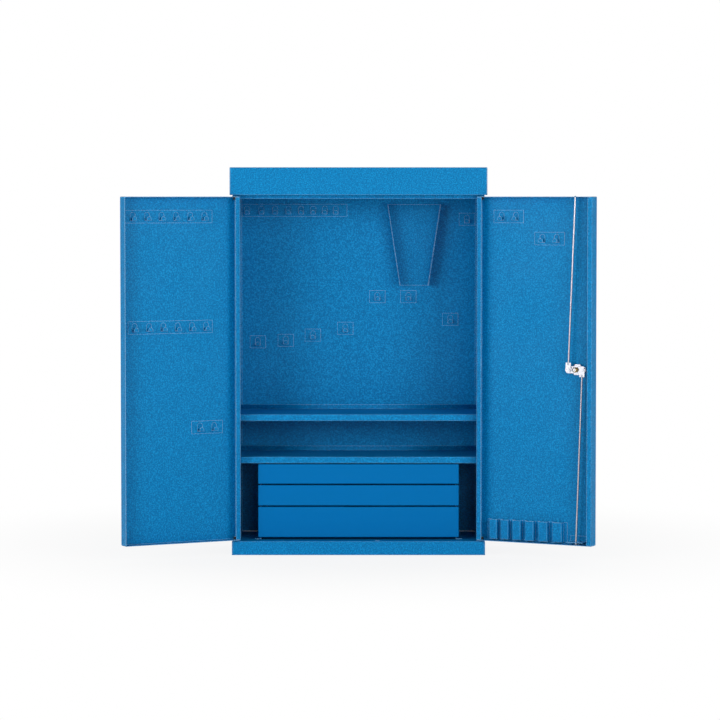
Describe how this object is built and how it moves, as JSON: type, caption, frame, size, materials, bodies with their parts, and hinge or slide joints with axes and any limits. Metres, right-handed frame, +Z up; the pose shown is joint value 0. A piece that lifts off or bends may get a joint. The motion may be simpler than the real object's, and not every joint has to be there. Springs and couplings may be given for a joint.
{
  "type": "tool cabinet with doors",
  "caption": "Sheet steel wall tool cabinet with open hinged doors, shelves, drawers, tool hooks, a spanner rack, a chisel holder and a rod lock on the right door.",
  "frame": {"origin": "middle of the back bottom edge, where the wall meets the surface that the cabinet stands on", "axes": "+Z up, +Y towards the wall behind the cabinet, +X to the right of someone who looks into it"},
  "size_m": [1.2202, 0.4034, 1],
  "materials": {
    "blue_structured_powder": "structured polyester powder coat, semi-gloss",
    "blue_smooth_paint": "smooth stove enamel, semi-gloss",
    "zinc_plated": "bright zinc plating",
    "brass": "plain turned brass",
    "black_plastic": "moulded, satin"
  },
  "bodies": {
    "cabinet": {"left_side_wall": "blue_structured_powder", "right_side_wall": "blue_structured_powder", "back_panel": "blue_structured_powder", "top_cap": "blue_structured_powder", "head_rail": "blue_structured_powder", "base_tray": "blue_structured_powder", "upper_shelf": "blue_structured_powder", "lower_shelf": "blue_structured_powder", "left_drawer_wall": "blue_structured_powder", "right_drawer_wall": "blue_structured_powder", "drawer_runners": "zinc_plated", "back_hook_rail": "blue_structured_powder", "single_hooks": "blue_structured_powder", "spanner_rack": "blue_structured_powder", "top_hinge_pins": "blue_structured_powder", "bottom_hinge_pins": "blue_structured_powder"},
    "left_door": {"left_door_pan": "blue_structured_powder", "left_upper_hook_rail": "blue_structured_powder", "left_middle_hook_rail": "blue_structured_powder", "left_lower_hook_rail": "blue_structured_powder", "left_door_bushes": "black_plastic"},
    "right_door": {"right_door_pan": "blue_structured_powder", "right_upper_hook_rail": "blue_structured_powder", "right_lower_hook_rail": "blue_structured_powder", "chisel_holder": "blue_structured_powder", "right_door_bushes": "black_plastic", "rod_guide": "zinc_plated", "lock_housing": "zinc_plated", "housing_nut": "zinc_plated"},
    "lock": {"turn_handle": "black_plastic", "spindle": "zinc_plated", "cam_bar": "zinc_plated", "cam_nut": "brass", "rod_pins": "zinc_plated"},
    "key": {"key_barrel": "zinc_plated"},
    "upper_rod": {"upper_rod": "zinc_plated"},
    "lower_rod": {"lower_rod": "zinc_plated"},
    "top_drawer": {"top_drawer_tray": "blue_smooth_paint", "top_drawer_front": "blue_smooth_paint", "top_drawer_slides": "zinc_plated"},
    "middle_drawer": {"middle_drawer_tray": "blue_smooth_paint", "middle_drawer_front": "blue_smooth_paint", "middle_drawer_slides": "zinc_plated"},
    "bottom_drawer": {"bottom_drawer_tray": "blue_smooth_paint", "bottom_drawer_front": "blue_smooth_paint", "bottom_drawer_slides": "zinc_plated"}
  },
  "joints": [
    {"name": "left_door_hinge", "type": "hinge", "parent": "cabinet", "child": "left_door", "pos_m": [-0.3185, -0.238, 0.039], "axis": [0, 0, -1], "range_deg": [-152, 28]},
    {"name": "right_door_hinge", "type": "hinge", "parent": "cabinet", "child": "right_door", "pos_m": [0.3185, -0.238, 0.039], "axis": [0, 0, 1], "range_deg": [-152, 28]},
    {"name": "lock_turn", "type": "hinge", "parent": "right_door", "child": "lock", "pos_m": [0.54975, -0.36968, 0.486], "axis": [0.4695, 0.8829, 0], "range_deg": [0, 90]},
    {"name": "upper_rod_swing", "type": "hinge", "parent": "lock", "child": "upper_rod", "pos_m": [0.53253, -0.36052, 0.486], "axis": [0.4695, 0.8829, 0], "range_deg": [-93, 0]},
    {"name": "lower_rod_swing", "type": "hinge", "parent": "lock", "child": "lower_rod", "pos_m": [0.56697, -0.37883, 0.486], "axis": [0.4695, 0.8829, 0], "range_deg": [-93, 0]},
    {"name": "key_turn", "type": "hinge", "parent": "lock", "child": "key", "pos_m": [0.54975, -0.36968, 0.486], "axis": [0.4695, 0.8829, 0], "range_deg": [0, 90]},
    {"name": "top_drawer_slide", "type": "slide", "parent": "cabinet", "child": "top_drawer", "axis": [0, -1, 0], "range_m": [0, 0.15]},
    {"name": "middle_drawer_slide", "type": "slide", "parent": "cabinet", "child": "middle_drawer", "axis": [0, -1, 0], "range_m": [0, 0.15]},
    {"name": "bottom_drawer_slide", "type": "slide", "parent": "cabinet", "child": "bottom_drawer", "axis": [0, -1, 0], "range_m": [0, 0.15]}
  ],
  "couplings": [
    {"joint": "upper_rod_swing", "follows": "lock_turn", "ratio": -1.0284},
    {"joint": "lower_rod_swing", "follows": "lock_turn", "ratio": -1.028}
  ]
}
